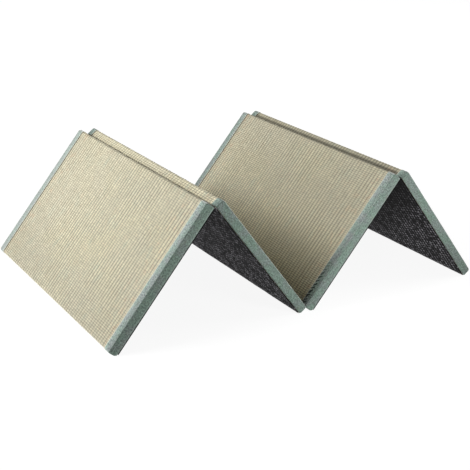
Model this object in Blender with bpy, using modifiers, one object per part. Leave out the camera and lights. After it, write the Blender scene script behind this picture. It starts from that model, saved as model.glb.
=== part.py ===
"""Folding tatami mat: four rush-covered boards hinged into a zigzag, standing on their lower edges.

Metres, +Z up. X runs along the mat's length from the left board to the right one, and Y runs
across its width. The origin is on the floor, under the middle of the mat.
"""

import math

import bmesh
import bpy
from mathutils import Vector

# Driving dimensions of one board, measured over its cloth
PANEL_LENGTH = 0.500
MAT_WIDTH = 0.900
PANEL_THICKNESS = 0.032
LEAN_LEFT = math.radians(52.0)
LEAN_RIGHT = math.radians(51.3)

# Cloth and clearances
BINDING_CLOTH = 0.0012
BACKING_CLOTH = 0.0015
FACING_CLOTH = 0.0010
LAYER_GAP = 0.0003
BAND_WIDTH = 0.030
BINDING_RADIUS = 0.004
SOFT_EDGE_RADIUS = 0.0028
END_RADIUS = 0.008
END_SEGMENTS = 3

# Rush ribs, which run along the mat's length
RIB_COUNT = 57
RIB_CREST = 0.0008
RIB_GROOVE = -0.0004
RIB_MARGIN = 0.0005

# Folds; the rounded ends of the valley's boards nest, so that their square corners would overlap
PEAK_GAP = 0.003
VALLEY_GAP = -0.0055
FACING_LEG = 0.020
SEAT_MARGIN = 0.0012
SEAT_RUN_OUT = 0.0012
FOLD_RADIUS = 0.0012
FOLD_ANGLE_LIMIT = math.radians(35)

# Lower edges
BACKING_SETBACK = 0.0085
SETTLE = 0.0055
FLOOR_CUTTER_DEPTH = 0.05

# Places worked out from the sizes above
COVER_INSET = BINDING_CLOTH + LAYER_GAP
COVER_LOW = BACKING_CLOTH + LAYER_GAP
COVER_TOP = PANEL_THICKNESS - COVER_INSET
COVER_END_RADIUS = END_RADIUS - COVER_INSET
RIBBED_HALF_WIDTH = MAT_WIDTH / 2 - BAND_WIDTH - RIB_MARGIN
RIB_STEPS = 2 * RIB_COUNT
SEAT_END = FACING_LEG + SEAT_MARGIN
SEAT_DEPTH = FACING_CLOTH + LAYER_GAP - RIB_GROOVE
MERGE = 1e-6

# One row for each board: name, lean, whether it rises towards +X, whether its foot is at the valley
PANELS = (
    {"name": "1", "lean": LEAN_LEFT, "rises": True, "at_valley": False},
    {"name": "2", "lean": LEAN_LEFT, "rises": False, "at_valley": True},
    {"name": "3", "lean": LEAN_RIGHT, "rises": True, "at_valley": True},
    {"name": "4", "lean": LEAN_RIGHT, "rises": False, "at_valley": False},
)

# One row for each material: linear colour and roughness
FINISHES = {
    "rush": {"colour": (0.56, 0.53, 0.40, 1.0), "roughness": 0.75},
    "binding": {"colour": (0.22, 0.29, 0.26, 1.0), "roughness": 0.9},
    "backing": {"colour": (0.025, 0.025, 0.027, 1.0), "roughness": 0.85},
}


def clear_scene():
    for item in list(bpy.data.objects):
        bpy.data.objects.remove(item, do_unlink=True)


def new_collection(name):
    made = bpy.data.collections.new(name)
    bpy.context.scene.collection.children.link(made)
    return made


def make_material(name, colour, roughness):
    made = bpy.data.materials.new(name)
    made.use_nodes = True
    shader = made.node_tree.nodes["Principled BSDF"]
    shader.inputs["Base Color"].default_value = colour
    shader.inputs["Roughness"].default_value = roughness
    shader.inputs["Metallic"].default_value = 0.0
    return made


def add_object(name, mesh, collection, finish=None, parent=None):
    made = bpy.data.objects.new(name, mesh)
    collection.objects.link(made)
    made.parent = parent
    if finish:
        mesh.materials.append(bpy.data.materials[finish])
    return made


def box_bmesh(low, high):
    """A closed box between two corners, in the board's own frame."""
    low = Vector(low)
    high = Vector(high)
    bm = bmesh.new()
    bmesh.ops.create_cube(bm, size=1.0)
    bmesh.ops.scale(bm, vec=high - low, verts=bm.verts)
    bmesh.ops.translate(bm, vec=(low + high) / 2, verts=bm.verts)
    return bm


def mesh_from(bm, name):
    mesh = bpy.data.meshes.new(name)
    bm.to_mesh(mesh)
    bm.free()
    return mesh


def cut_across(bm, point, normal):
    everything = bm.verts[:] + bm.edges[:] + bm.faces[:]
    bmesh.ops.bisect_plane(bm, geom=everything, plane_co=point, plane_no=normal)


def round_upper_ends(bm, radius):
    """Rounds the two edges across the mat where the face turns over the ends."""
    turned = []
    for edge in bm.edges:
        first, second = (vert.co for vert in edge.verts)
        upper = min(first.z, second.z) > PANEL_THICKNESS / 2
        if upper and abs(first.x - second.x) < MERGE:
            turned.append(edge)
    bmesh.ops.bevel(
        bm, geom=turned, offset=radius, segments=END_SEGMENTS, profile=0.5, affect="EDGES"
    )


def rib_height(y):
    """Height of the rush above its mean face, on one of the lines that run along the ribs."""
    step = round((y + RIBBED_HALF_WIDTH) / (2 * RIBBED_HALF_WIDTH) * RIB_STEPS)
    if step in (0, RIB_STEPS):
        return 0.0
    return RIB_CREST if step % 2 else RIB_GROOVE


def split_into_ribs(bm):
    """Divides the face and ends, from binding to binding, along the lines of the ribs."""
    for side in (-1, 1):
        cut_across(bm, (0, side * RIBBED_HALF_WIDTH, 0), (0, 1, 0))
    lowest_line = COVER_LOW + SOFT_EDGE_RADIUS
    spans = []
    for edge in bm.edges:
        ends = [vert.co for vert in edge.verts]
        length = abs(ends[0].y - ends[1].y)
        if abs(length - 2 * RIBBED_HALF_WIDTH) < MERGE and ends[0].z > lowest_line - MERGE:
            spans.append(edge)
    bmesh.ops.subdivide_edges(bm, edges=spans, cuts=RIB_STEPS - 1, use_grid_fill=True)


def raise_ribs(bm, low, high, seat_end):
    """Raises the ribs, which die out towards the underside, and sinks the seat of the facing's fold."""
    core_low = low + Vector((COVER_END_RADIUS, 0, SOFT_EDGE_RADIUS))
    core_high = high - Vector((COVER_END_RADIUS, 0, COVER_END_RADIUS))
    for vert in bm.verts:
        if abs(vert.co.y) > RIBBED_HALF_WIDTH + MERGE or vert.co.z < core_low.z + MERGE:
            continue
        if vert.co.x < seat_end + MERGE and vert.co.z > core_high.z - MERGE:
            vert.co.z -= SEAT_DEPTH
            continue
        core_x = min(max(vert.co.x, core_low.x), core_high.x)
        core_z = min(max(vert.co.z, core_low.z), core_high.z)
        outward = vert.co - Vector((core_x, vert.co.y, core_z))
        vert.co += outward.normalized() * rib_height(vert.co.y)


def rush_cover(panel):
    """The rush-covered board: a box with soft edges, ribbed on its face and on its ends."""
    low = Vector((COVER_INSET, -MAT_WIDTH / 2 + COVER_INSET, COVER_LOW))
    high = Vector((PANEL_LENGTH - COVER_INSET, MAT_WIDTH / 2 - COVER_INSET, COVER_TOP))
    bm = box_bmesh(low, high)
    round_upper_ends(bm, COVER_END_RADIUS)
    sharp = [edge for edge in bm.edges if edge.calc_face_angle() > FOLD_ANGLE_LIMIT]
    bmesh.ops.bevel(
        bm, geom=sharp, offset=SOFT_EDGE_RADIUS, segments=2, profile=0.5, affect="EDGES"
    )
    seat_end = SEAT_END if panel["at_valley"] else 0.0
    if seat_end:
        cut_across(bm, (seat_end, 0, 0), (1, 0, 0))
        cut_across(bm, (seat_end + SEAT_RUN_OUT, 0, 0), (1, 0, 0))
    split_into_ribs(bm)
    raise_ribs(bm, low, high, seat_end)
    return mesh_from(bm, f"panel_{panel['name']}")


def binding_shell(name, side):
    """Open surface of one edge binding: a band on the face, the side, and a band on each end."""
    inner_edge = side * (MAT_WIDTH / 2 - BAND_WIDTH)
    outer_edge = side * MAT_WIDTH / 2
    low = (0, min(inner_edge, outer_edge), COVER_LOW)
    high = (PANEL_LENGTH, max(inner_edge, outer_edge), PANEL_THICKNESS)
    bm = box_bmesh(low, high)
    round_upper_ends(bm, END_RADIUS)
    bm.normal_update()
    open_faces = [f for f in bm.faces if f.normal.z < -0.5 or f.normal.y * side < -0.5]
    bmesh.ops.delete(bm, geom=open_faces, context="FACES_ONLY")
    return mesh_from(bm, name)


def soften_and_thicken(piece, radius, segments, thickness, outward):
    """Rounds an open surface's sharp edges, and gives it the thickness of its cloth."""
    rounding = piece.modifiers.new("soft edges", "BEVEL")
    rounding.width = radius
    rounding.segments = segments
    rounding.limit_method = "ANGLE"
    rounding.angle_limit = FOLD_ANGLE_LIMIT
    cloth = piece.modifiers.new("cloth", "SOLIDIFY")
    cloth.thickness = thickness
    cloth.offset = 1 if outward else -1
    cloth.use_even_offset = True


def cut_on_floor(piece, floor):
    cut = piece.modifiers.new("standing edge", "BOOLEAN")
    cut.operation = "DIFFERENCE"
    cut.solver = "EXACT"
    cut.object = floor


def folded_strip(name, fold_line, half_width, rows, root, collection, finish):
    """An open strip across the mat, bent at the middle of its three points in X and Z."""
    bm = bmesh.new()
    bmesh.ops.create_grid(bm, x_segments=2, y_segments=rows, size=1.0)
    for vert in bm.verts:
        x, z = fold_line[round(vert.co.x) + 1]
        vert.co = (x, vert.co.y * half_width, z)
    return add_object(name, mesh_from(bm, name), collection, finish, root)


def place_fold(panel, foot_x, root, collection):
    """An empty at a board's lower underside corner: its X climbs the board, its Z faces outward."""
    made = bpy.data.objects.new(f"fold_{panel['name']}", None)
    collection.objects.link(made)
    made.parent = root
    made.location = (foot_x, 0, -SETTLE)
    turn = 0.0 if panel["rises"] else math.pi
    made.rotation_euler = (0, -panel["lean"], turn)
    return made


def build_panel(panel, foot_x, root, collection, floor):
    fold = place_fold(panel, foot_x, root, collection)
    cover = add_object(f"panel_{panel['name']}", rush_cover(panel), collection, "rush", fold)
    cut_on_floor(cover, floor)
    for place, side in (("front", -1), ("back", 1)):
        name = f"binding_{panel['name']}_{place}"
        local_side = side if panel["rises"] else -side
        binding = add_object(name, binding_shell(name, local_side), collection, "binding", fold)
        soften_and_thicken(binding, BINDING_RADIUS, 3, BINDING_CLOTH, outward=False)
        cut_on_floor(binding, floor)


def foot_places():
    """X of the four lower underside corners, from the left board's."""
    run_left = 2 * PANEL_LENGTH * math.cos(LEAN_LEFT) + PEAK_GAP
    run_right = 2 * PANEL_LENGTH * math.cos(LEAN_RIGHT) + PEAK_GAP
    valley = PANEL_THICKNESS * (math.sin(LEAN_LEFT) + math.sin(LEAN_RIGHT)) + VALLEY_GAP
    return 0.0, run_left, run_left + valley, run_left + valley + run_right


def point_on_board(foot_x, lean, direction, along, height):
    """X and Z of a point on a board, from its climb and its height above the underside."""
    x = foot_x + direction * (along * math.cos(lean) - height * math.sin(lean))
    z = along * math.sin(lean) + height * math.cos(lean) - SETTLE
    return x, z


def backing_sheet(name, lean, foot_left, foot_right, root, collection):
    """The underside cloth of two boards, carried over their peak fold as its hinge."""
    left = point_on_board(foot_left, lean, 1, BACKING_SETBACK, 0)
    right = point_on_board(foot_right, lean, -1, BACKING_SETBACK, 0)
    middle = (foot_left + foot_right) / 2
    peak = (middle, (middle - foot_left) * math.tan(lean) - SETTLE)
    fold_line = (left, peak, right)
    sheet = folded_strip(name, fold_line, MAT_WIDTH / 2, 1, root, collection, "backing")
    soften_and_thicken(sheet, FOLD_RADIUS, 2, BACKING_CLOTH, outward=True)


def facing_fold(foot_left, foot_right, root, collection):
    """The rush facing carried over the valley fold as its hinge, with the boards' ribs on it."""
    height = COVER_TOP - FACING_CLOTH
    left = point_on_board(foot_left, LEAN_LEFT, -1, FACING_LEG, height)
    right = point_on_board(foot_right, LEAN_RIGHT, 1, FACING_LEG, height)
    corner_left = point_on_board(foot_left, LEAN_LEFT, -1, 0, height)
    corner_right = point_on_board(foot_right, LEAN_RIGHT, 1, 0, height)
    half_gap = (corner_right[0] - corner_left[0]) / 2
    middle = (corner_left[0] + corner_right[0]) / 2
    valley = (middle, corner_left[1] - half_gap * math.tan(LEAN_LEFT))
    fold_line = (left, valley, right)
    strip = folded_strip(
        "facing_fold", fold_line, RIBBED_HALF_WIDTH, RIB_STEPS, root, collection, "rush"
    )
    for vert in strip.data.vertices:
        vert.co.z += rib_height(vert.co.y) / math.cos(LEAN_LEFT)
    soften_and_thicken(strip, FOLD_RADIUS, 2, FACING_CLOTH, outward=True)


def floor_cutter(collection, length):
    """The floor under the mat, on which the lower edges are pressed flat."""
    low = (-length, -MAT_WIDTH, -FLOOR_CUTTER_DEPTH)
    high = (2 * length, MAT_WIDTH, 0)
    floor = add_object("floor_cutter", mesh_from(box_bmesh(low, high), "floor_cutter"), collection)
    floor.hide_render = True
    floor.display_type = "WIRE"
    return floor


def centre_over_origin(root, pieces):
    """Moves the mat so that the origin lies under the middle of its length."""
    bpy.context.view_layer.update()
    graph = bpy.context.evaluated_depsgraph_get()
    places = []
    for piece in pieces:
        shown = piece.evaluated_get(graph)
        places += [(shown.matrix_world @ vert.co).x for vert in shown.data.vertices]
    root.location.x = -(min(places) + max(places)) / 2


def main():
    clear_scene()
    for name, finish in FINISHES.items():
        make_material(name, finish["colour"], finish["roughness"])
    mat = new_collection("folding_tatami_mat")
    cutters = new_collection("cutters")
    root = bpy.data.objects.new("mat_root", None)
    mat.objects.link(root)
    feet = foot_places()
    floor = floor_cutter(cutters, feet[-1])

    for panel, foot_x in zip(PANELS, feet):
        build_panel(panel, foot_x, root, mat, floor)
    backing_sheet("backing_left", LEAN_LEFT, feet[0], feet[1], root, mat)
    backing_sheet("backing_right", LEAN_RIGHT, feet[2], feet[3], root, mat)
    facing_fold(feet[1], feet[2], root, mat)
    centre_over_origin(root, [item for item in mat.objects if item.type == "MESH"])


main()
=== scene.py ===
"""Looks of the folding tatami mat: ribbed rush, cloth edge bindings, black underside cloth.

Metres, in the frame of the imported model. Each piece is shaped in a board's own frame first:
"along" climbs the board from its foot, and "height" rises from its underside to its rush face.
"""

import math

import bmesh
import bpy
import numpy as np
from mathutils import Matrix, Vector

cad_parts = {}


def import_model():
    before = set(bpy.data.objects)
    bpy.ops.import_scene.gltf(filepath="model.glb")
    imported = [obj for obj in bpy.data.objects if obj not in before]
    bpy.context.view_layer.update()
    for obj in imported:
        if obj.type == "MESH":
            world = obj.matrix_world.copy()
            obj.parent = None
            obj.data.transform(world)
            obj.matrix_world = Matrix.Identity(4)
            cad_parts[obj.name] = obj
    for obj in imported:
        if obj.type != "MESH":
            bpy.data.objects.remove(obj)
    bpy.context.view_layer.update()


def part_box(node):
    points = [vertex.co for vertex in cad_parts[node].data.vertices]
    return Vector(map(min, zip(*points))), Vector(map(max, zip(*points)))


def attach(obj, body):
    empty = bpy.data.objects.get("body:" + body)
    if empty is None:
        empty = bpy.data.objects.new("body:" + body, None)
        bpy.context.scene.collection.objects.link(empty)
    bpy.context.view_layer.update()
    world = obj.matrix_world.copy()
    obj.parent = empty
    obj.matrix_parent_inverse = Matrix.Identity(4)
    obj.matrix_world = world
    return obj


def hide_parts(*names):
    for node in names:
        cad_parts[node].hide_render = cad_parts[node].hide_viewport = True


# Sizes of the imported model
PANEL_LENGTH = 0.500
MAT_WIDTH = 0.900
PANEL_THICKNESS = 0.032
LEAN_LEFT = math.radians(52.0)
LEAN_RIGHT = math.radians(51.3)
BINDING_CLOTH = 0.0012
BACKING_CLOTH = 0.0015
FACING_CLOTH = 0.0010
LAYER_GAP = 0.0003
BAND_WIDTH = 0.030
BINDING_RADIUS = 0.004
END_RADIUS = 0.008
RIB_COUNT = 57
RIB_CREST = 0.0008
RIB_GROOVE = -0.0005
RIB_MARGIN = 0.0005
PEAK_GAP = 0.003
VALLEY_GAP = -0.0055
FACING_LEG = 0.020
BACKING_SETBACK = 0.0085
SETTLE = 0.0055

# Puckers at the rush edge of the bindings, beside the valley
PUCKER_PITCH = 0.0135
PUCKER_REACH = 0.017
PUCKERED_LENGTH = 0.22
PUCKER_HEIGHT = 0.0010

# Places worked out from them
COVER_INSET = BINDING_CLOTH + LAYER_GAP
COVER_LOW = BACKING_CLOTH + LAYER_GAP
COVER_TOP = PANEL_THICKNESS - COVER_INSET
COVER_RADIUS = END_RADIUS - COVER_INSET
HALF_WIDTH = MAT_WIDTH / 2
RIBBED_HALF_WIDTH = HALF_WIDTH - BAND_WIDTH - RIB_MARGIN
RIB_PITCH = 2 * RIBBED_HALF_WIDTH / RIB_COUNT
SEAT_DEPTH = FACING_CLOTH + LAYER_GAP - RIB_GROOVE

# Steps of the fine meshes
COLUMNS_PER_RIB = 8
FACE_STEP = 0.0060
END_STEP = 0.0035
FLOOR_STEP = 0.01
UNDERSIDE_STEP = 0.12
VALLEY_STEP = 0.003
ARC_STEPS = 5
SHOULDER_STEPS = 3
BEND_POINTS = 7
THREAD_SIDES = 6
END_SEGMENTS = 6
FOLD_SEGMENTS = 4
BINDING_STEP = 0.006
BACKING_STEP = 0.012
PUCKER_STEP = 0.0025
PUCKERS_FROM = 0.010
TINY = 1e-6
MERGE_DISTANCE = 0.0002
SHARP_ANGLE = 0.6

# How squarely a face looks one way before it counts as turned that way
HALF_TURNED = 0.5
FULLY_TURNED = 0.7

# Relief of the rush and roundness of its cover
COVER_SHOULDER = 0.0028
SHOULDER_SHARES = (0.0, 0.1, 0.35, 0.7, 1.0)
RIB_SHARPNESS = 0.75
RIB_FADE = 0.006
RUSH_UNEVEN = 0.00009
RUSH_SPREAD = (2, 3)

# Relief of the bindings: a crown on the side, slight waves, and the puckers' slant
CROWN_MIDDLE = 0.017
CROWN_HALF_WIDTH = 0.012
CROWN_HEIGHT = 0.0003
WAVE_COUNT = 5
WAVE_LENGTHS = (0.03, 0.12)
WAVE_SKEWS = (-1.5, 1.5)
WAVE_HEIGHT = 0.00005
PUCKER_SLANT = 60.0
PUCKER_START = 0.7
PUCKER_CREST = 0.12
PUCKER_HALF_WIDTH = 0.3
PUCKER_EDGE = 0.005

# The turned-in edge of a binding
FOLD_RADIUS = 0.0013
FOLD_SUNK = 0.0007
FOLD_INWARD = 0.3
FOLD_CLEARANCE = 0.001
FOLD_WOBBLE = 0.0001
FOLD_SPREAD = (0, 2)

# Bends and slack of the cloths over the folds
PEAK_BEND = 0.004
VALLEY_BEND = 0.0025
SLACK = 0.00012
SLACK_LIMIT = 0.0003
SLACK_SPREAD = (3, 3)
VALLEY_NUMBER = 2.5
SEED = 7

# Camera fitted to the photo
IMAGE_SIDE = 470
SENSOR = 36.0
FOCAL_PIXELS = 1042.405
YAW = math.radians(31.531)
PITCH = math.radians(20.184)
ROLL = math.radians(-1.674)
CAMERA_FROM_FOOT = (-1.0893, -2.3882, 1.3315)

rng = np.random.default_rng(SEED)


# Places on the boards

def foot_places():
    """X of the four lower underside corners, with the first board's at zero."""
    run_left = 2 * PANEL_LENGTH * math.cos(LEAN_LEFT) + PEAK_GAP
    run_right = 2 * PANEL_LENGTH * math.cos(LEAN_RIGHT) + PEAK_GAP
    valley = PANEL_THICKNESS * (math.sin(LEAN_LEFT) + math.sin(LEAN_RIGHT)) + VALLEY_GAP
    return [0.0, run_left, run_left + valley, run_left + valley + run_right]


class Board:
    """One board's place: its foot, its lean, and which way it climbs along X."""

    def __init__(self, number, lean, direction, foot_x, at_valley):
        self.number = number
        self.lean = lean
        self.direction = direction
        self.foot_x = foot_x
        self.at_valley = at_valley

    def place(self, along, height):
        """X and Z of points on this board."""
        x = self.foot_x + self.direction * (
            along * math.cos(self.lean) - height * math.sin(self.lean)
        )
        z = along * math.sin(self.lean) + height * math.cos(self.lean) - SETTLE
        return x, z

    def floor_on_end(self, inset):
        """Height at which the floor meets a plane parallel to the foot's end."""
        return (SETTLE - inset * math.sin(self.lean)) / math.cos(self.lean)

    def floor_on_underside(self, height):
        """Climb at which the floor meets a plane parallel to the underside."""
        return (SETTLE - height * math.cos(self.lean)) / math.sin(self.lean)


# Meshes

def grid_object(name, points, lay, closed_rows=False, flip=False):
    """A mesh over rows and columns of points, which keeps each point's place in the cloth."""
    rows, columns = points.shape[:2]
    index = np.arange(rows * columns).reshape(rows, columns)
    if closed_rows:
        index = np.vstack([index, index[:1]])
    corners = [index[:-1, :-1], index[:-1, 1:], index[1:, 1:], index[1:, :-1]]
    faces = np.stack(corners, axis=-1).reshape(-1, 4)
    if flip:
        faces = faces[:, ::-1]
    face_list = faces.tolist()
    if closed_rows:
        first = index[:-1, 0].tolist()
        last = index[:-1, -1].tolist()
        face_list.append(first if flip else first[::-1])
        face_list.append(last[::-1] if flip else last)
    mesh = bpy.data.meshes.new(name)
    mesh.from_pydata(points.reshape(-1, 3).tolist(), [], face_list)
    keep_lay(mesh, lay.reshape(-1, 3))
    mesh.polygons.foreach_set("use_smooth", np.ones(len(mesh.polygons), bool))
    mesh.validate()
    made = bpy.data.objects.new(name, mesh)
    bpy.context.scene.collection.objects.link(made)
    return made


def keep_lay(mesh, lay):
    """Stores where each point lies in its cloth: across the mat, along it, and the board."""
    stored = mesh.attributes.new("lay", "FLOAT_VECTOR", "POINT")
    stored.data.foreach_set("vector", np.ascontiguousarray(lay, np.float32).ravel())


def spaced(start, end, step):
    """Even places from start to end, about a step apart."""
    count = max(1, round(abs(end - start) / step))
    return np.linspace(start, end, count + 1)


def arc(centre, radius, start, end, steps=ARC_STEPS):
    """Points and outward directions on a turn, the angles in degrees from +along to +height."""
    angles = np.radians(np.linspace(start, end, steps + 1))
    direction = np.stack([np.cos(angles), np.sin(angles)], axis=1)
    return np.array(centre) + radius * direction, direction


def line(start, end, direction, step):
    """Points along a straight stretch of a path, with the direction that is outward there."""
    start, end = np.array(start), np.array(end)
    length = np.linalg.norm(end - start)
    share = spaced(0, length, step) / length
    points = start + share[:, None] * (end - start)
    return points, np.tile(np.array(direction, float), (len(points), 1))


def joined(parts):
    """One path from several, with the doubled points between them left out."""
    points = [parts[0][0]] + [p[1:] for p, _ in parts[1:]]
    directions = [parts[0][1]] + [d[1:] for _, d in parts[1:]]
    return np.vstack(points), np.vstack(directions)


def rib_profile(y):
    """Height of the rush over its mean face: a round crest between narrow grooves."""
    phase = (y + RIBBED_HALF_WIDTH) / RIB_PITCH
    crest = np.abs(np.sin(math.pi * phase)) ** RIB_SHARPNESS
    height = RIB_GROOVE + (RIB_CREST - RIB_GROOVE) * crest
    return np.where(np.abs(y) < RIBBED_HALF_WIDTH - TINY, height, 0.0)


def cover_path(board):
    """Closed cross-section of a rush-covered board, from the floor over the face to the peak."""
    low, top, inset, radius = COVER_LOW, COVER_TOP, COVER_INSET, COVER_RADIUS
    far = PANEL_LENGTH - inset
    floor_in = (board.floor_on_underside(low), low)
    floor_out = (inset, board.floor_on_end(inset))
    down = (-math.sin(board.lean), -math.cos(board.lean))
    return joined([
        line(floor_in, floor_out, down, FLOOR_STEP),
        line(floor_out, (inset, top - radius), (-1, 0), END_STEP),
        arc((inset + radius, top - radius), radius, 180, 90),
        line((inset + radius, top), (far - radius, top), (0, 1), FACE_STEP),
        arc((far - radius, top - radius), radius, 90, 0),
        line((far, top - radius), (far, low + COVER_SHOULDER), (1, 0), END_STEP),
        arc((far - COVER_SHOULDER, low + COVER_SHOULDER), COVER_SHOULDER, 0, -90, SHOULDER_STEPS),
        line((far - COVER_SHOULDER, low), floor_in, (0, -1), UNDERSIDE_STEP),
    ])


def path_run(points):
    """Length of the way along a path up to each of its points."""
    return np.concatenate([[0], np.cumsum(np.linalg.norm(np.diff(points, axis=0), axis=1))])


def smooth_noise(rows, columns, spread):
    """Soft random relief, even in size over a grid."""
    field = rng.normal(size=(rows, columns))
    for axis, width in enumerate(spread):
        kernel = np.hanning(2 * width + 3)
        field = np.apply_along_axis(
            lambda values: np.convolve(values, kernel / kernel.sum(), "same"), axis, field
        )
    return field / field.std()


def cover_columns():
    """Places across a cover: even over the ribs, and closer on its rounded shoulders."""
    ribbed = np.linspace(-RIBBED_HALF_WIDTH, RIBBED_HALF_WIDTH, RIB_COUNT * COLUMNS_PER_RIB + 1)
    edge = HALF_WIDTH - COVER_INSET
    shoulder = edge - COVER_SHOULDER * np.array(SHOULDER_SHARES)
    return np.concatenate([-shoulder, ribbed, shoulder[::-1]])


def rush_cover(board):
    """The rush over a board's face and ends, with its ribs, closed by its underside."""
    path, outward = cover_path(board)
    path, outward = path[:-1], outward[:-1]
    run = path_run(path)
    y = cover_columns()
    floor_z = path @ np.array([math.sin(board.lean), math.cos(board.lean)])
    rise = np.clip((floor_z - SETTLE) / RIB_FADE, 0, 1)
    underside = outward[:, 1] < -HALF_TURNED
    rise[underside] = 0.0

    uneven = smooth_noise(len(path), len(y), RUSH_SPREAD) * RUSH_UNEVEN
    ribbed = np.abs(y) < RIBBED_HALF_WIDTH + TINY
    relief = (rib_profile(y)[None, :] + uneven * ribbed) * rise[:, None]
    shoulder_start = HALF_WIDTH - COVER_INSET - COVER_SHOULDER
    past_shoulder = np.clip(np.abs(y) - shoulder_start, 0, COVER_SHOULDER)
    relief -= COVER_SHOULDER - np.sqrt(COVER_SHOULDER**2 - past_shoulder**2)[None, :]
    along = path[:, :1] + outward[:, :1] * relief
    height = path[:, 1:] + outward[:, 1:] * relief
    if board.at_valley:
        sunk = (along < FACING_LEG + LAYER_GAP) & (path[:, 1:] > COVER_TOP - COVER_RADIUS - TINY)
        height = height - SEAT_DEPTH * (sunk & ribbed[None, :])
    x, z = board.place(along, height)
    z = np.maximum(z, 0.0)
    points = np.stack([x, np.broadcast_to(y, x.shape), z], axis=-1)
    lay = np.stack(np.broadcast_arrays(y[None, :], run[:, None], float(board.number)), axis=-1)
    flip = board.direction > 0
    return grid_object(f"rush_{board.number}", points, lay, closed_rows=True, flip=flip)


def to_world(board, mesh):
    """Moves a mesh from a board's frame to its place; the board's Y is the mat's."""
    count = len(mesh.vertices)
    co = np.zeros(count * 3)
    mesh.vertices.foreach_get("co", co)
    co = co.reshape(-1, 3)
    x, z = board.place(co[:, 0], co[:, 2])
    mesh.vertices.foreach_set("co", np.stack([x, co[:, 1], z], axis=1).ravel())
    if board.direction < 0:
        mesh.flip_normals()
    mesh.update()


def cut_at(bm, point, normal, clear=False):
    """Cuts the mesh at a plane, and clears what lies under it where asked."""
    everything = bm.verts[:] + bm.edges[:] + bm.faces[:]
    bmesh.ops.bisect_plane(bm, geom=everything, plane_co=point, plane_no=normal, clear_inner=clear)


def rounded(bm, edges, radius, segments):
    bmesh.ops.bevel(
        bm, geom=edges, offset=radius, segments=segments, profile=0.5, affect="EDGES"
    )


def binding_surface(board, side):
    """Outer surface of one binding, in the board's frame: face band, side and end bands."""
    inner = side * (HALF_WIDTH - BAND_WIDTH)
    outer = side * HALF_WIDTH
    low = Vector((0, min(inner, outer), COVER_LOW))
    high = Vector((PANEL_LENGTH, max(inner, outer), PANEL_THICKNESS))
    bm = bmesh.new()
    bmesh.ops.create_cube(bm, size=1.0)
    bmesh.ops.scale(bm, vec=high - low, verts=bm.verts)
    bmesh.ops.translate(bm, vec=(low + high) / 2, verts=bm.verts)
    ends = []
    for edge in bm.edges:
        first, second = (vert.co for vert in edge.verts)
        if min(first.z, second.z) > PANEL_THICKNESS / 2 and abs(first.x - second.x) < TINY:
            ends.append(edge)
    rounded(bm, ends, END_RADIUS, END_SEGMENTS)
    bm.normal_update()
    open_faces = []
    for face in bm.faces:
        if min(face.normal.z, face.normal.y * side) < -HALF_TURNED:
            open_faces.append(face)
    bmesh.ops.delete(bm, geom=open_faces, context="FACES_ONLY")
    sharp = [e for e in bm.edges if len(e.link_faces) == 2 and e.calc_face_angle() > SHARP_ANGLE]
    rounded(bm, sharp, BINDING_RADIUS, FOLD_SEGMENTS)
    for x in spaced(0, PANEL_LENGTH, BINDING_STEP)[1:-1]:
        cut_at(bm, (x, 0, 0), (1, 0, 0))
    if board.at_valley:
        for x in spaced(PUCKERS_FROM, PUCKERED_LENGTH, PUCKER_STEP):
            cut_at(bm, (x, 0, 0), (1, 0, 0))
    for z in spaced(COVER_LOW, PANEL_THICKNESS, BINDING_STEP)[1:-1]:
        cut_at(bm, (0, 0, z), (0, 0, 1))
    for y in spaced(inner, outer, BINDING_STEP)[1:-1]:
        cut_at(bm, (0, y, 0), (0, 1, 0))
    floor_normal = (math.sin(board.lean), 0, math.cos(board.lean))
    floor_point = (0, 0, SETTLE / math.cos(board.lean))
    cut_at(bm, floor_point, floor_normal, clear=True)
    bmesh.ops.remove_doubles(bm, verts=bm.verts, dist=MERGE_DISTANCE)
    return bm


def crease_relief(board, co, normal, side):
    """How far each point of a binding stands out: a soft crown, slight waves and puckers."""
    along, y, height = co[:, 0], co[:, 1], co[:, 2]
    crown = np.clip(1 - ((height - CROWN_MIDDLE) / CROWN_HALF_WIDTH) ** 2, 0, 1) * CROWN_HEIGHT
    on_side = np.clip(normal[:, 1] * side, 0, 1)
    wave = np.zeros(len(co))
    for _ in range(WAVE_COUNT):
        wavelength = rng.uniform(*WAVE_LENGTHS)
        skew = rng.uniform(*WAVE_SKEWS)
        shift = rng.uniform(0, 2 * math.pi)
        wave += np.sin(2 * math.pi * (along + skew * (y + height)) / wavelength + shift)
    relief = crown * on_side + wave * WAVE_HEIGHT
    if board.at_valley:
        from_edge = HALF_WIDTH - np.abs(y)
        turn = along / PUCKER_PITCH + PUCKER_SLANT * from_edge + PUCKER_START
        ridge = np.clip(1 - np.abs(turn % 1.0 - PUCKER_CREST) / PUCKER_HALF_WIDTH, 0, 1)
        inward = np.clip((PUCKER_REACH - BAND_WIDTH + from_edge) / PUCKER_EDGE, 0, 1)
        fade = np.clip(1 - along / PUCKERED_LENGTH, 0, 1)
        relief += PUCKER_HEIGHT * ridge * inward * fade * (normal[:, 2] > FULLY_TURNED)
    return relief


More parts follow.
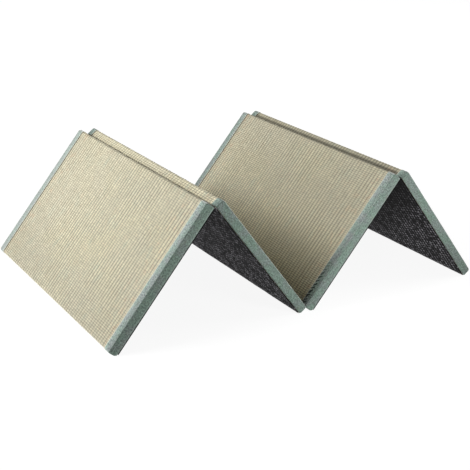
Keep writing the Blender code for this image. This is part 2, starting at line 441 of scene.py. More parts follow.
def binding(board, side):
    """One edge binding: the cloth folded over a board's edge, at its thickness."""
    place = "front" if side < 0 else "back"
    name = f"edge_cloth_{board.number}_{place}"
    bm = binding_surface(board, side)
    mesh = bpy.data.meshes.new(name)
    bm.to_mesh(mesh)
    bm.free()
    mesh.update()
    count = len(mesh.vertices)
    co = np.array([v.co for v in mesh.vertices])
    normal = np.array([v.normal for v in mesh.vertices])
    moved = co + normal * crease_relief(board, co, normal, side)[:, None]
    mesh.vertices.foreach_set("co", moved.ravel())
    from_edge = HALF_WIDTH - np.abs(co[:, 1])
    depth = PANEL_THICKNESS - co[:, 2]
    sideways = np.abs(normal[:, 1]) > FULLY_TURNED
    endways = np.abs(normal[:, 0]) > FULLY_TURNED
    across = np.where(sideways, depth, -from_edge)
    toward = np.where(co[:, 0] < PANEL_LENGTH / 2, -depth, PANEL_LENGTH + depth)
    run = np.where(endways, toward, co[:, 0])
    cloth_number = board.number + (BACK_MARK if side > 0 else 0.0)
    lay = np.stack([across, run, np.full(count, cloth_number)], axis=1)
    keep_lay(mesh, lay)
    to_world(board, mesh)
    mesh.polygons.foreach_set("use_smooth", np.ones(len(mesh.polygons), bool))
    made = bpy.data.objects.new(name, mesh)
    bpy.context.scene.collection.objects.link(made)
    cloth = made.modifiers.new("cloth", "SOLIDIFY")
    cloth.thickness = BINDING_CLOTH
    cloth.offset = -1
    cloth.use_even_offset = True
    return made


def tube(name, centres, radius, lay_run, number):
    """A thin closed thread along a line of points in the mat's frame."""
    tangent = np.gradient(centres, axis=0)
    tangent /= np.linalg.norm(tangent, axis=1)[:, None]
    across = np.tile([0.0, 1.0, 0.0], (len(centres), 1))
    up = np.cross(tangent, across)
    up /= np.linalg.norm(up, axis=1)[:, None]
    angles = np.linspace(0, 2 * math.pi, THREAD_SIDES, endpoint=False)
    ring = np.cos(angles)[:, None, None] * across + np.sin(angles)[:, None, None] * up
    points = centres[None] + radius * ring
    lay = np.stack(np.broadcast_arrays(angles[:, None], lay_run[None, :], float(number)), axis=-1)
    return grid_object(name, points, lay, closed_rows=True)


def edge_fold(board, side):
    """The turned-in edge of a binding, along its band on the face and down its ends, coloured pale as a
    painted highlight.
    """
    top = PANEL_THICKNESS
    radius = END_RADIUS
    path, outward = joined([
        line((0, board.floor_on_end(0) + FOLD_CLEARANCE), (0, top - radius), (-1, 0), END_STEP),
        arc((radius, top - radius), radius, 180, 90),
        line((radius, top), (PANEL_LENGTH - radius, top), (0, 1), FACE_STEP),
        arc((PANEL_LENGTH - radius, top - radius), radius, 90, 0),
        line((PANEL_LENGTH, top - radius), (PANEL_LENGTH, COVER_LOW + FOLD_CLEARANCE), (1, 0), END_STEP),
    ])
    path = path - outward * FOLD_SUNK
    wobble = smooth_noise(1, len(path), FOLD_SPREAD)[0] * FOLD_WOBBLE
    y = side * (HALF_WIDTH - BAND_WIDTH + FOLD_RADIUS * FOLD_INWARD) + wobble
    x, z = board.place(path[:, 0], path[:, 1])
    place = "front" if side < 0 else "back"
    centres = np.stack([x, y, z], axis=1)
    name = f"edge_fold_{board.number}_{place}"
    return tube(name, centres, FOLD_RADIUS, path_run(path), board.number)


def bent_path(first, bend, last, radius, step):
    """A line of points from first to last, rounded where it bends."""
    first, bend, last = (np.array(p, float) for p in (first, bend, last))
    into = (bend - first) / np.linalg.norm(bend - first)
    out = (last - bend) / np.linalg.norm(last - bend)
    half = math.acos(np.clip(into @ out, -1, 1)) / 2
    reach = radius * math.tan(half)
    start, end = bend - into * reach, bend + out * reach
    turn = []
    for share in np.linspace(0, 1, BEND_POINTS):
        a = start + (bend - start) * share
        b = bend + (end - bend) * share
        turn.append(a + (b - a) * share)
    before = first + spaced(0, np.linalg.norm(start - first), step)[:, None] * into
    after = end + spaced(0, np.linalg.norm(last - end), step)[:, None] * out
    return np.vstack([before[:-1], turn, after[1:]])


def path_normals(path):
    """Directions square to a path, on its left."""
    tangent = np.gradient(path, axis=0)
    tangent /= np.linalg.norm(tangent, axis=1)[:, None]
    return np.stack([-tangent[:, 1], tangent[:, 0]], axis=1)


def backing(name, left, right):
    """The underside cloth of two boards, in one piece over their peak fold."""
    first = left.place(BACKING_SETBACK, 0)
    last = right.place(BACKING_SETBACK, 0)
    middle = (left.foot_x + right.foot_x) / 2
    peak = (middle, (middle - left.foot_x) * math.tan(left.lean) - SETTLE)
    path = bent_path(first, peak, last, PEAK_BEND, BACKING_STEP)
    outward = -path_normals(path)
    y = spaced(-HALF_WIDTH, HALF_WIDTH, BACKING_STEP)
    slack = smooth_noise(len(path), len(y), SLACK_SPREAD) * SLACK
    slack = np.clip(slack, -SLACK_LIMIT, SLACK_LIMIT)
    x = path[:, :1] + outward[:, :1] * slack
    z = path[:, 1:] + outward[:, 1:] * slack
    points = np.stack([x, np.broadcast_to(y, x.shape), z], axis=-1)
    run = path_run(path)
    lay = np.stack(np.broadcast_arrays(y[None, :], run[:, None], float(left.number)), axis=-1)
    made = grid_object(name, points, lay, flip=True)
    cloth = made.modifiers.new("cloth", "SOLIDIFY")
    cloth.thickness = BACKING_CLOTH
    cloth.offset = -1
    return made


def facing_over_valley(left, right):
    """The rush facing carried over the valley fold, with the boards' ribs running on in it."""
    first = left.place(FACING_LEG, COVER_TOP)
    last = right.place(FACING_LEG, COVER_TOP)
    corner_left = left.place(0, COVER_TOP)
    corner_right = right.place(0, COVER_TOP)
    slope_left, slope_right = math.tan(left.lean), math.tan(right.lean)
    # The two faces meet where both lines have one height
    drop = corner_left[1] - corner_right[1]
    weighed = slope_left * corner_left[0] + slope_right * corner_right[0]
    valley_x = (drop + weighed) / (slope_left + slope_right)
    valley_z = corner_left[1] - slope_left * (valley_x - corner_left[0])
    path = bent_path(first, (valley_x, valley_z), last, VALLEY_BEND, VALLEY_STEP)
    outward = path_normals(path)
    y = np.linspace(-RIBBED_HALF_WIDTH, RIBBED_HALF_WIDTH, RIB_COUNT * COLUMNS_PER_RIB + 1)
    relief = rib_profile(y)[None, :]
    x = path[:, :1] + outward[:, :1] * relief
    z = path[:, 1:] + outward[:, 1:] * relief
    points = np.stack([x, np.broadcast_to(y, x.shape), z], axis=-1)
    run = path_run(path)
    lay = np.stack(np.broadcast_arrays(y[None, :], run[:, None], VALLEY_NUMBER), axis=-1)
    made = grid_object("rush_over_valley", points, lay)
    cloth = made.modifiers.new("cloth", "SOLIDIFY")
    cloth.thickness = FACING_CLOTH
    cloth.offset = -1
    return made


# Materials

class Shader:
    """Short calls that add and link a material's nodes."""

    def __init__(self, name):
        self.material = bpy.data.materials.new(name)
        self.material.use_nodes = True
        self.tree = self.material.node_tree
        self.surface = self.tree.nodes["Principled BSDF"]
        lay = self.add("ShaderNodeAttribute")
        lay.attribute_name = "lay"
        split = self.add("ShaderNodeSeparateXYZ")
        self.link(lay.outputs["Vector"], split.inputs[0])
        self.across, self.along, self.board = split.outputs
        self.place = self.join(self.across, self.along, self.board)

    def add(self, kind):
        return self.tree.nodes.new(kind)

    def link(self, source, socket):
        if isinstance(source, (int, float, tuple)):
            socket.default_value = source
        else:
            self.tree.links.new(source, socket)

    def math(self, operation, *values, clamp=False):
        node = self.add("ShaderNodeMath")
        node.operation = operation
        node.use_clamp = clamp
        for value, socket in zip(values, node.inputs):
            self.link(value, socket)
        return node.outputs[0]

    def times(self, first, *others):
        """The product of all the values."""
        product = first
        for value in others:
            product = self.math("MULTIPLY", product, value)
        return product

    def plus(self, first, second):
        return self.math("ADD", first, second)

    def less(self, first, second):
        return self.math("SUBTRACT", first, second)

    def line(self, value, slope, start):
        """The start, and the slope times the value."""
        return self.math("MULTIPLY_ADD", value, slope, start)

    def wave(self, turns):
        return self.math("SINE", turns)

    def join(self, x, y, z):
        node = self.add("ShaderNodeCombineXYZ")
        for value, socket in zip((x, y, z), node.inputs):
            self.link(value, socket)
        return node.outputs[0]

    def noise(self, vector, scale, detail, roughness):
        node = self.add("ShaderNodeTexNoise")
        self.link(vector, node.inputs["Vector"])
        self.link(scale, node.inputs["Scale"])
        self.link(detail, node.inputs["Detail"])
        self.link(roughness, node.inputs["Roughness"])
        return node.outputs["Fac"]

    def speckle(self, scale, detail, roughness):
        """Noise that is as long as it is wide."""
        return self.noise(self.place, scale, detail, roughness)

    def cloud(self, across, along, shift, detail=2.0, roughness=0.5):
        """Noise scaled apart each way, and set apart from board to board."""
        vector = self.join(
            self.times(self.across, across),
            self.times(self.along, along),
            self.plus(self.board, shift),
        )
        return self.noise(vector, 1.0, detail, roughness)

    def random(self, x, y, z):
        node = self.add("ShaderNodeTexWhiteNoise")
        node.noise_dimensions = "3D"
        self.link(self.join(x, y, z), node.inputs["Vector"])
        return node.outputs["Value"]

    def cells(self, across, along):
        """A random value for each small cell of the cloth."""
        column = self.math("FLOOR", self.math("DIVIDE", self.across, across))
        row = self.math("FLOOR", self.math("DIVIDE", self.along, along))
        return self.random(column, row, self.board)

    def weave(self, thread):
        """A plain weave: highs and lows by turns, both ways."""
        turn = 2 * math.pi / thread
        return self.times(self.wave(self.times(self.across, turn)), self.wave(self.times(self.along, turn)))

    def step(self, value, low, high, out_low=0.0, out_high=1.0):
        node = self.add("ShaderNodeMapRange")
        node.interpolation_type = "SMOOTHSTEP"
        for number, socket in zip((value, low, high, out_low, out_high), node.inputs):
            self.link(number, socket)
        return node.outputs[0]

    def fall(self, value, low, high):
        """One below the range and zero above it."""
        return self.step(value, low, high, 1.0, 0.0)

    def beside_valley(self):
        """One on the two middle boards and on the rush between them."""
        return self.times(self.step(self.board, *SECOND_BOARD), self.fall(self.board, *FOURTH_BOARD))

    def mix(self, share, first, second, blend="MIX"):
        node = self.add("ShaderNodeMix")
        node.data_type = "RGBA"
        node.blend_type = blend
        self.link(share, node.inputs[MIX_SHARE])
        self.link(first, node.inputs[MIX_FIRST])
        self.link(second, node.inputs[MIX_SECOND])
        return node.outputs[MIX_RESULT]

    def shade(self, colour, amount):
        """Multiplies a colour by a grey amount."""
        node = self.add("ShaderNodeVectorMath")
        node.operation = "SCALE"
        self.link(colour, node.inputs[0])
        self.link(amount, node.inputs["Scale"])
        return node.outputs[0]

    def bump(self, height, distance, strength):
        node = self.add("ShaderNodeBump")
        self.link(height, node.inputs["Height"])
        node.inputs["Distance"].default_value = distance
        node.inputs["Strength"].default_value = strength
        self.tree.links.new(node.outputs[0], self.surface.inputs["Normal"])

    def finish(self, colour, roughness, sheen, specular):
        self.link(colour, self.surface.inputs["Base Color"])
        self.link(roughness, self.surface.inputs["Roughness"])
        self.surface.inputs["Sheen Weight"].default_value = sheen
        self.surface.inputs["Specular IOR Level"].default_value = specular
        return self.material


# Sockets of the colour mix node
MIX_SHARE = 0
MIX_FIRST = 6
MIX_SECOND = 7
MIX_RESULT = 2

# Where the board's number steps from one board to the next
SECOND_BOARD = (1.4, 1.6)
THIRD_BOARD = (2.6, 2.9)
FOURTH_BOARD = (3.4, 3.6)
SECOND_TO_FOURTH = (2.5, 3.5)
FIRST_TO_SECOND = (1.5, 2.0)
LEFT_TO_RIGHT = (1.5, 2.5)
BACK_MARK = 0.4
BACK_MARK_RANGE = (0.1, 0.3)

# Weave of the rush, in metres, and its random values
STRAND_PITCH = 0.0016
DASH_LENGTH = 0.0062
BEAD_PITCH = 0.0068
BEAD_SHIFT = 1.3
DASH_SHIFT = 7.0
SHIFT_SEED = 3.7
RIB_SEED = 11.3
RUSH_GRAIN = (900.0, 3.0, 0.6)

# Noise of the rush: scale across and along, shift, detail and roughness
CLARITY_CLOUD = (8.0, 6.0, 13.0)
PATCH_CLOUD = (5.0, 7.0, 0.0)
GREEN_CLOUD = (30.0, 14.0, 4.0, 2.0, 0.6)
TAN_CLOUD = (55.0, 40.0, 9.0)

# Light on the rush, in shares: random tone, painted shade in the grooves, painted light and shade on the
# beads, and painted light and shade by place; a range comes first and what it gives comes second
GROOVE_RANGE = (0.05, 0.80)
GROOVE_MEAN = 0.22
CLARITY_RANGE = (0.36, 0.64)
PAINTED_GROOVE_SHADE = (0.36, 0.70)
PAINTED_BEAD_SHADING = (0.17, 0.09)
BEAD_FADE = (0.05, 0.35, 1.35, 0.85)
BEAD_BY_VALLEY = 0.8
RIB_BY_VALLEY = -0.08
STRAND_LIGHT = (0.24, 0.88)
DASH_SPREAD = 0.14
RIB_SPREAD = 0.06
ROUND_SPREAD = 0.16
# Painted light and shade by place: shade at the feet, at the top of the third board and in the gap at the
# right peak, light or shade on the end strips and at the low back, lighter to the back, and a painted
# shadow beside the back bindings
FOOT_LIGHT = (0.02, 0.28, 0.90, 1.0)
THIRD_BOARD_DULL = (0.22, 0.42, 0.0, 0.09)
END_LIGHT = (1.42, 0.88)
END_RANGE = (0.518, 0.530)
GAP_RANGE = (0.5350, 0.5378)
GAP_SHADE = (0.0, 0.55)
ACROSS_LIGHT = (-HALF_WIDTH, 0.30, 0.90, 1.03)
BACK_RANGE = (-0.15, 0.35)
LOW_RANGE = (0.05, 0.35)
LOW_BACK_LIGHT = (0.22, -0.09)
BACK_EDGE_SHADE = (RIBBED_HALF_WIDTH - 0.009, RIBBED_HALF_WIDTH - 0.002, 1.0, 0.28)

# Colours of the rush, and how much of each is mixed in; the valley's colour is a painted shade
STRAW = (0.60, 0.560, 0.415, 1.0)
YELLOW_STRAW = (0.645, 0.595, 0.405, 1.0)
GREEN_STRAW = (0.50, 0.55, 0.43, 1.0)
TAN_STRAW = (0.66, 0.51, 0.35, 1.0)
PAINTED_VALLEY_SHADE = (0.425, 0.395, 0.240, 1.0)
YELLOW_SHARE = (0.30, 0.75, 0.0, 0.5)
GREEN_SHARE = (0.52, 0.80, 0.0, 0.45)
TAN_SHARE = (0.50, 0.72, 0.0, 0.7)
TAN_NEAR_EDGE = (0.31, 0.42, 0.25, 1.0)
VALLEY_RANGE = (0.02, 0.26)
VALLEY_SHARE = 0.40

# Relief and gloss of the rush
RUSH_RELIEF = (0.5, 0.3, 0.3)
RUSH_BUMP = (0.0006, 0.8)
RUSH_ROUGHNESS = (0.25, 0.52)


def rush_colour(s, beside_valley):
    """Straw colour in soft patches, greener here, more tan by the edges, and a darker brown painted shade
    by the valley.
    """
    colour = s.mix(s.step(s.cloud(*PATCH_CLOUD), *YELLOW_SHARE), STRAW, YELLOW_STRAW)
    colour = s.mix(s.step(s.cloud(*GREEN_CLOUD), *GREEN_SHARE), colour, GREEN_STRAW)
    near_edge = s.step(s.math("ABSOLUTE", s.across), *TAN_NEAR_EDGE)
    colour = s.mix(s.times(s.step(s.cloud(*TAN_CLOUD), *TAN_SHARE), near_edge), colour, TAN_STRAW)
    # Painted shade by the valley fold: a darker brown on the two middle boards near it
    by_valley = s.times(beside_valley, s.fall(s.along, *VALLEY_RANGE))
    return s.mix(s.times(by_valley, VALLEY_SHARE), colour, PAINTED_VALLEY_SHADE)


def rush_place_light(s, beside_valley):
    """Painted light and shade by place: shade at each foot, at the top of the third board, in the gap at
    the right peak, toward the front and beside the back bindings, light or shade at the low back, and light
    on the end strips at the peaks except the fourth board's, which is shaded.
    """
    on_third = s.times(beside_valley, s.step(s.board, *THIRD_BOARD))
    duller = s.times(on_third, s.step(s.along, *THIRD_BOARD_DULL))
    end_light = s.less(s.step(s.board, *SECOND_TO_FOURTH, *END_LIGHT), 1.0)
    in_gap = s.times(s.step(s.along, *GAP_RANGE), s.step(s.board, *SECOND_TO_FOURTH, *GAP_SHADE))
    low_back = s.times(s.step(s.across, *BACK_RANGE), s.fall(s.along, *LOW_RANGE))
    return s.times(
        s.less(1.0, duller),
        s.step(s.along, *FOOT_LIGHT),
        s.line(s.step(s.along, *END_RANGE), end_light, 1.0),
        s.less(1.0, in_gap),
        s.step(s.across, *ACROSS_LIGHT),
        s.line(low_back, s.line(beside_valley, *LOW_BACK_LIGHT), 1.0),
        s.step(s.across, *BACK_EDGE_SHADE),
    )


def rush_material():
    s = Shader("rush")
    beside_valley = s.beside_valley()
    rib = s.math("DIVIDE", s.plus(s.across, RIBBED_HALF_WIDTH), RIB_PITCH)
    rib_index = s.math("FLOOR", rib)
    from_groove = s.wave(s.times(s.math("FRACT", rib), math.pi))
    groove = s.fall(from_groove, *GROOVE_RANGE)

    # Rush strands lie across the ribs and pass under in each groove
    strand = s.math("DIVIDE", s.along, STRAND_PITCH)
    strand_round = s.wave(s.times(s.math("FRACT", strand), math.pi))
    strand_tint = s.random(s.math("FLOOR", strand), rib_index, s.board)

    # Beads along each rib, painted in light and shade and a little out of step from rib to rib, and dashes
    # of uneven tint
    shift = s.random(rib_index, SHIFT_SEED, s.board)
    bead_turn = s.times(s.along, 2 * math.pi / BEAD_PITCH)
    bead = s.wave(s.line(shift, BEAD_SHIFT, bead_turn))
    dash = s.plus(s.math("DIVIDE", s.along, DASH_LENGTH), s.times(shift, DASH_SHIFT))
    dash_tint = s.random(s.math("FLOOR", dash), rib_index, s.board)
    rib_tint = s.random(rib_index, RIB_SEED, s.board)

    # Painted shade in the grooves and on the beads, in patches: here the ribs stand out, there the beads do
    clarity = s.cloud(*CLARITY_CLOUD)
    painted_groove_shade = s.times(
        s.step(clarity, *CLARITY_RANGE, *PAINTED_GROOVE_SHADE),
        s.line(beside_valley, RIB_BY_VALLEY, 1.0),
    )
    painted_bead_shading = s.times(
        s.step(clarity, *CLARITY_RANGE, *PAINTED_BEAD_SHADING),
        s.step(s.along, *BEAD_FADE),
        s.line(beside_valley, BEAD_BY_VALLEY, 1.0),
    )

    light = s.line(strand_tint, *STRAND_LIGHT)
    spreads = ((dash_tint, DASH_SPREAD), (rib_tint, RIB_SPREAD), (strand_round, ROUND_SPREAD))
    for amount, spread in spreads:
        light = s.times(light, s.line(amount, spread, 1.0 - spread / 2))
    # Painted shade in the grooves, and painted light and shade on the beads
    sunk = s.times(s.less(groove, GROOVE_MEAN), painted_groove_shade)
    light = s.times(light, s.line(bead, painted_bead_shading, 1.0), s.less(1.0, sunk))
    # Painted light and shade by place
    light = s.times(light, rush_place_light(s, beside_valley))
    colour = s.shade(rush_colour(s, beside_valley), light)

    fine = s.speckle(*RUSH_GRAIN)
    heights = [s.times(part, share) for part, share in zip((strand_round, fine, strand_tint), RUSH_RELIEF)]
    s.bump(s.plus(s.plus(heights[0], heights[1]), heights[2]), *RUSH_BUMP)
    return s.finish(colour, s.line(fine, *RUSH_ROUGHNESS), sheen=0.15, specular=0.35)


# Weave and noise of the binding: metres, and scale, detail and roughness
BINDING_THREAD = 0.0016
SLUB_CELL = (0.0036, 0.0052)
CLOUDY_NOISE = (26.0, 3.0, 0.6)
WARM_CLOUD = (60.0, 60.0, 5.0, 2.0, 0.6)
BINDING_GRAIN = (225.0, 2.0, 0.6)
BINDING_FINE = (1200.0, 2.0, 0.5)

# Colours and light of the binding, with painted shade on its sides and at each foot, painted light on the
# back bindings and across the face band, painted highlights on the rims and painted shade between the
# puckers
GREEN_CLOTH = (0.305, 0.400, 0.352, 1.0)
GREY_CLOTH = (0.333, 0.378, 0.370, 1.0)
OLIVE_CLOTH = (0.320, 0.360, 0.280, 1.0)
SIDE_PAINTED_SHADE = (0.585, 0.640, 0.595, 1.0)
BACK_PAINTED_LIGHT = (0.62, 0.66, 0.61, 1.0)
RIM_PAINTED_HIGHLIGHT = (0.92, 0.94, 0.88, 1.0)
NOTCH_SHADE = (0.022, 0.034, 0.028, 1.0)
GREY_SHARE = (0.40, 0.62)
OLIVE_SHARE = (0.55, 0.75, 0.0, 0.5)
BACK_PAINTED_LIGHT_SHARE = (0.32, 0.05)
SLUB_LIGHT = (0.30, 0.85)
WEAVE_LIGHT = 0.10
GRAIN_LIGHT = (0.32, 0.68, 0.54, 1.46)
# Painted shade toward the foot, and painted light across the face band that fades toward its outer fold
CLOTH_FOOT_LIGHT = (0.0, 0.40, 0.90, 1.0)
BAND_LIGHT = (-BAND_WIDTH, -BINDING_RADIUS, 1.18, 0.84)
SIDE_RANGE = (-0.001, 0.001)

# Painted highlights on the fold edges: where each begins and ends, across and along
RIM_OVER_TURN = (-0.0004, 0.0012)
OUTER_EDGE = (-0.0062, -0.0042)
OUTER_EDGE_END = (0.4925, 0.4950)
RISING_RIM = (0.4960, 0.4970)
RISING_RIM_END = (0.5030, 0.5045)
FALLING_RIM = (0.4885, 0.4900)
FALLING_RIM_END = (0.4965, 0.4975)
RIM_HIGHLIGHT_CLOUD = (0.0, 130.0, 31.0, 3.0, 0.7)
RIM_HIGHLIGHT_SHARE = (0.30, 0.60, 0.65, 0.95)

# Painted shade in the notches between the puckers
NOTCH_SLANT = -60.0
NOTCH_CLOUD = (0.0, 60.0, 21.0, 1.0, 0.5)
NOTCH_UNEVEN = 1.4
NOTCH_RANGE = (0.20, 0.65)
NOTCH_REACH = (PUCKER_REACH - BAND_WIDTH - 0.004, PUCKER_REACH - BAND_WIDTH)
NOTCH_FADE = (0.08, PUCKERED_LENGTH)

# Relief and gloss of the binding
BINDING_RELIEF = 0.4
BINDING_BUMP = (0.0004, 0.7)
BINDING_ROUGHNESS = (0.15, 0.78)


def painted_rim_highlights(s):
    """Painted highlights on the fold edges: the outer one on the falling boards, and every one at a peak.
    """
    falling = s.less(1.0, s.math("MODULO", s.math("FLOOR", s.board), 2.0))
    outer_edge = s.times(s.step(s.across, *OUTER_EDGE), falling, s.fall(s.along, *OUTER_EDGE_END))
    rising_rim = s.times(
        s.step(s.along, *RISING_RIM), s.fall(s.along, *RISING_RIM_END), s.less(1.0, falling)
    )
    falling_rim = s.times(s.step(s.along, *FALLING_RIM), s.fall(s.along, *FALLING_RIM_END), falling)
    rim = s.math("MAXIMUM", outer_edge, s.math("MAXIMUM", rising_rim, falling_rim))
    patchy_highlight = s.step(s.cloud(*RIM_HIGHLIGHT_CLOUD), *RIM_HIGHLIGHT_SHARE)
    return s.times(rim, s.fall(s.across, *RIM_OVER_TURN), patchy_highlight)


def pucker_notch_shade(s):
    """Painted shade in the notches between the puckers of the rush edge, beside the valley."""
    slant = s.times(s.across, NOTCH_SLANT)
    uneven = s.times(s.cloud(*NOTCH_CLOUD), NOTCH_UNEVEN)
    turn = s.plus(s.math("DIVIDE", s.along, PUCKER_PITCH), s.plus(slant, uneven))
    return s.times(
        s.step(s.math("FRACT", turn), *NOTCH_RANGE),
        s.fall(s.across, *NOTCH_REACH),
        s.beside_valley(),
        s.fall(s.along, *NOTCH_FADE),
    )


def binding_material():
    s = Shader("edge_cloth")
    weave = s.weave(BINDING_THREAD)
    colour = s.mix(s.step(s.speckle(*CLOUDY_NOISE), *GREY_SHARE), GREEN_CLOTH, GREY_CLOTH)
    colour = s.mix(s.step(s.cloud(*WARM_CLOUD), *OLIVE_SHARE), colour, OLIVE_CLOTH)
    # Random tone of slubs, weave and grain, painted shade toward each foot, and painted light across the
    # face band
    light = s.times(
        s.line(s.cells(*SLUB_CELL), *SLUB_LIGHT),
        s.line(weave, WEAVE_LIGHT, 1.0),
        s.step(s.speckle(*BINDING_GRAIN), *GRAIN_LIGHT),
        s.step(s.along, *CLOTH_FOOT_LIGHT),
        s.step(s.across, *BAND_LIGHT),
    )
    colour = s.shade(colour, light)
    # Painted light on the back bindings, strongest on the first board's
    behind = s.step(s.math("FRACT", s.board), *BACK_MARK_RANGE)
    paler = s.times(behind, s.step(s.board, *FIRST_TO_SECOND, *BACK_PAINTED_LIGHT_SHARE))
    colour = s.mix(paler, colour, BACK_PAINTED_LIGHT)
    # Painted shade: the side faces of the bindings are darkened
    colour = s.mix(s.step(s.across, *SIDE_RANGE), colour, SIDE_PAINTED_SHADE, blend="MULTIPLY")
    # Painted highlights on the rounded fold edges
    colour = s.mix(painted_rim_highlights(s), colour, RIM_PAINTED_HIGHLIGHT)
    # Painted shade between the puckers
    colour = s.mix(pucker_notch_shade(s), colour, NOTCH_SHADE)
    fine = s.speckle(*BINDING_FINE)
    s.bump(s.plus(s.times(weave, BINDING_RELIEF), s.times(fine, BINDING_RELIEF)), *BINDING_BUMP)
    return s.finish(colour, s.line(fine, *BINDING_ROUGHNESS), sheen=0.25, specular=0.2)


# Weave and noise of the underside cloth: metres, and scale, detail and roughness
BACKING_THREAD = 0.0050
TICK_PITCH = 0.0125
TICK_ROW = 0.0180
ROW_SHIFT = 0.5
TICK_RANGE = (-0.6, 0.1)
TICK_ROW_RANGE = (0.70, 0.95)
SPECK_CELL = (0.0046, 0.0044)
WORN_NOISE = (14.0, 3.0, 0.6)
BACKING_GRAIN = (190.0, 2.0, 0.6)
BACKING_FINE = (700.0, 2.0, 0.5)

# Colours and light of the underside cloth, with painted shade deep in under the boards
BLACK_CLOTH = (0.003, 0.0028, 0.0032, 1.0)
DARK_CLOTH = (0.008, 0.0078, 0.0085, 1.0)
PALE_FLECK = (0.290, 0.282, 0.303, 1.0)
DARK_SHARE = (0.35, 0.65)
TICK_SHARE = (0.15, 0.90, 0.03, 0.85)
SPECK_SHARE = (0.93, 0.99, 0.0, 0.7)
WORN_LIGHT = (0.3, 0.7, 0.65, 1.25)
BACKING_WEAVE_LIGHT = 0.15
DEPTH_REACH = 0.72
DEPTH_BY_CLIMB = 2.0
DEPTH_RANGE = (-0.50, 0.0)
DEEPEST_LIGHT = (0.95, 0.10)

# Relief and gloss of the underside cloth
BACKING_RELIEF = (0.7, 0.3)
BACKING_BUMP = (0.0009, 0.8)
BACKING_ROUGHNESS = (0.1, 0.85)


def backing_material():
    s = Shader("underside_cloth")
    weave = s.weave(BACKING_THREAD)

    # Rows of pale stitches, set as bricks are laid
    row = s.math("DIVIDE", s.across, TICK_ROW)
    row_index = s.math("FLOOR", row)
    turn = s.plus(s.math("DIVIDE", s.along, TICK_PITCH), s.times(row_index, ROW_SHIFT))
    tick = s.step(s.wave(s.times(turn, 2 * math.pi)), *TICK_RANGE)
    in_row = s.step(s.wave(s.times(s.math("FRACT", row), math.pi)), *TICK_ROW_RANGE)
    fleck = s.random(s.math("FLOOR", turn), row_index, s.board)
    ticks = s.times(s.step(fleck, *TICK_SHARE), tick, in_row)
    specks = s.step(s.cells(*SPECK_CELL), *SPECK_SHARE)
    colour = s.mix(s.step(s.speckle(*BACKING_GRAIN), *DARK_SHARE), BLACK_CLOTH, DARK_CLOTH)
    colour = s.mix(s.math("ADD", ticks, specks, clamp=True), colour, PALE_FLECK)

    # Painted shade far in from the sides and up at the fold, strong under the right pair of boards and
    # slight under the left
    from_peak = s.math("ABSOLUTE", s.less(s.along, PANEL_LENGTH - BACKING_SETBACK))
    from_side = s.less(HALF_WIDTH, s.math("ABSOLUTE", s.across))
    depth = s.less(s.math("DIVIDE", from_side, DEPTH_REACH), s.times(from_peak, DEPTH_BY_CLIMB))
    painted_shade_share = s.less(1.0, s.step(s.board, *LEFT_TO_RIGHT, *DEEPEST_LIGHT))
    light = s.times(
        s.step(s.speckle(*WORN_NOISE), *WORN_LIGHT),
        s.line(weave, BACKING_WEAVE_LIGHT, 1.0),
        s.less(1.0, s.times(s.step(depth, *DEPTH_RANGE), painted_shade_share)),
    )
    fine = s.speckle(*BACKING_FINE)
    weave_relief, fine_relief = BACKING_RELIEF
    s.bump(s.plus(s.times(weave, weave_relief), s.times(fine, fine_relief)), *BACKING_BUMP)
    return s.finish(s.shade(colour, light), s.line(fine, *BACKING_ROUGHNESS), sheen=0.0, specular=0.1)


# The turned-in edge of a binding, pale cream as a painted highlight
TWIST_TURNS = 2600.0
FOLD_FINE = (500.0, 2.0, 0.5)
CREAM = (0.76, 0.76, 0.64, 1.0)
PALE_CREAM = (0.92, 0.91, 0.79, 1.0)
TWIST_LIGHT = (0.08, 0.95)
FOLD_BUMP = (0.0002, 0.6)


def edge_fold_material():
    s = Shader("edge_fold")
    twist = s.wave(s.plus(s.times(s.along, TWIST_TURNS), s.across))
    # Pale cream, a painted highlight along the fold
    colour = s.mix(s.speckle(*FOLD_FINE), CREAM, PALE_CREAM)
    colour = s.shade(colour, s.line(twist, *TWIST_LIGHT))
    s.bump(twist, *FOLD_BUMP)
    return s.finish(colour, 0.8, sheen=0.2, specular=0.2)


# The floor's own light, and how far from the mat it rises
FLOOR_GLOW_NEAR = 0.91
FLOOR_GLOW_FAR = 0.96
GLOW_RISES_FROM = 0.9
GLOW_RISES_TO = 3.2
FLOOR_GREY = (0.18, 0.18, 0.18, 1.0)
WHITE = (1.0, 1.0, 1.0, 1.0)


def floor_material():
    """A pale floor that glows a little, more so away from the mat, like a lit paper sweep."""
    made = bpy.data.materials.new("pale_floor")
    made.use_nodes = True
    nodes, links = made.node_tree.nodes, made.node_tree.links
    shader = nodes["Principled BSDF"]
    place = nodes.new("ShaderNodeNewGeometry")
    distance = nodes.new("ShaderNodeVectorMath")
    distance.operation = "LENGTH"
    links.new(place.outputs["Position"], distance.inputs[0])
    glow = nodes.new("ShaderNodeMapRange")
    glow.interpolation_type = "SMOOTHSTEP"
    limits = (GLOW_RISES_FROM, GLOW_RISES_TO, FLOOR_GLOW_NEAR, FLOOR_GLOW_FAR)
    for value, socket in zip(limits, glow.inputs[1:]):
        socket.default_value = value
    links.new(distance.outputs["Value"], glow.inputs[0])
    links.new(glow.outputs[0], shader.inputs["Emission Strength"])
    shader.inputs["Base Color"].default_value = FLOOR_GREY
    shader.inputs["Roughness"].default_value = 0.9
    shader.inputs["Specular IOR Level"].default_value = 0.1
    shader.inputs["Emission Color"].default_value = WHITE
    return made


def dress(piece, material, slot, *nodes):
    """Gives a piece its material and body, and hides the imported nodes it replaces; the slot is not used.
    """
    piece.data.materials.append(material)
    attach(piece, "root")
    if nodes:
        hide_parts(*nodes)


# Studio

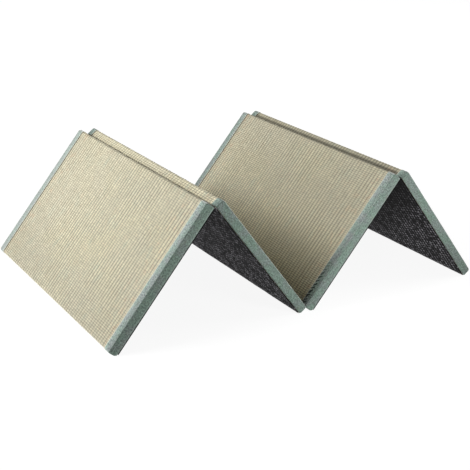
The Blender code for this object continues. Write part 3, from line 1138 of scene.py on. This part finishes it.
def add_camera(mat_x):
    """The camera that the photo was fitted with, moved from the first foot's frame."""
    level = math.cos(PITCH)
    forward = Vector((math.sin(YAW) * level, math.cos(YAW) * level, -math.sin(PITCH)))
    right = Vector((math.cos(YAW), -math.sin(YAW), 0))
    down = forward.cross(right)
    turned_right = math.cos(ROLL) * right + math.sin(ROLL) * down
    turned_down = -math.sin(ROLL) * right + math.cos(ROLL) * down
    data = bpy.data.cameras.new("camera")
    data.sensor_width = SENSOR
    data.lens = FOCAL_PIXELS * SENSOR / IMAGE_SIDE
    made = bpy.data.objects.new("camera", data)
    bpy.context.scene.collection.objects.link(made)
    rotation = Matrix((turned_right, -turned_down, -forward)).transposed().to_4x4()
    x, y, z = CAMERA_FROM_FOOT
    made.matrix_world = Matrix.Translation((x + mat_x, y - HALF_WIDTH, z - SETTLE)) @ rotation
    bpy.context.scene.camera = made


def add_light(name, place, target, side, power):
    """A square light of a given side and power in watts, turned toward its target."""
    data = bpy.data.lights.new(name, "AREA")
    data.size = side
    data.energy = power
    made = bpy.data.objects.new(name, data)
    bpy.context.scene.collection.objects.link(made)
    made.visible_camera = False
    made.location = place
    made.rotation_euler = (Vector(target) - Vector(place)).to_track_quat("-Z", "Y").to_euler()


# Floor and world light, and each light's name, place, target, side and power
FLOOR_SIDE = 120
FLOOR_DROP = 0.0003
WORLD_LIGHT = 0.07
MAT_MIDDLE = (0, 0, 0.25)
LIGHTS = (
    ("low key", (-7.5, 1.8, 2.6), MAT_MIDDLE, 5.0, 290),
    ("high key", (-6.4, 1.8, 4.9), MAT_MIDDLE, 4.0, 320),
    ("far side", (5.6, -0.8, 2.3), MAT_MIDDLE, 4.0, 200),
    ("front fill", (0.20, -1.10, 0.25), (0.20, 0, 0.20), 0.30, 3.2),
)


def add_studio():
    bpy.ops.mesh.primitive_plane_add(size=FLOOR_SIDE, location=(0, 0, -FLOOR_DROP))
    floor = bpy.context.object
    floor.name = "floor"
    floor.data.materials.append(floor_material())
    world = bpy.data.worlds.new("studio")
    bpy.context.scene.world = world
    world.use_nodes = True
    background = world.node_tree.nodes["Background"]
    background.inputs["Color"].default_value = WHITE
    background.inputs["Strength"].default_value = WORLD_LIGHT
    for light in LIGHTS:
        add_light(*light)
    bpy.context.scene.view_settings.view_transform = "Standard"


def place_boards():
    """The four boards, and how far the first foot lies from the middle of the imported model."""
    feet = foot_places()
    low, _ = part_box("binding_1_front")
    _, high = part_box("binding_4_front")
    mat_x = (low.x + high.x) / 2 - (feet[0] + feet[-1]) / 2
    rows = zip((1, 2, 3, 4), (LEAN_LEFT, LEAN_LEFT, LEAN_RIGHT, LEAN_RIGHT), (1, -1, 1, -1), feet)
    boards = [Board(n, lean, way, foot + mat_x, n in (2, 3)) for n, lean, way, foot in rows]
    return boards, mat_x


def main():
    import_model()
    boards, mat_x = place_boards()
    rush = rush_material()
    cloth = binding_material()
    underside = backing_material()
    pale = edge_fold_material()
    for board in boards:
        cover = rush_cover(board)
        dress(cover, rush, "rush", f"panel_{board.number}")
        for side, place in ((-1, "front"), (1, "back")):
            fold = edge_fold(board, side)
            dress(fold, pale, "binding")
            edge = binding(board, side)
            dress(edge, cloth, "binding", f"binding_{board.number}_{place}")
    for name, left, right, node in (
        ("underside_left", boards[0], boards[1], "backing_left"),
        ("underside_right", boards[2], boards[3], "backing_right"),
    ):
        sheet = backing(name, left, right)
        dress(sheet, underside, "backing", node)
    strip = facing_over_valley(boards[1], boards[2])
    dress(strip, rush, "rush", "facing_fold")

    add_camera(mat_x)
    add_studio()


main()
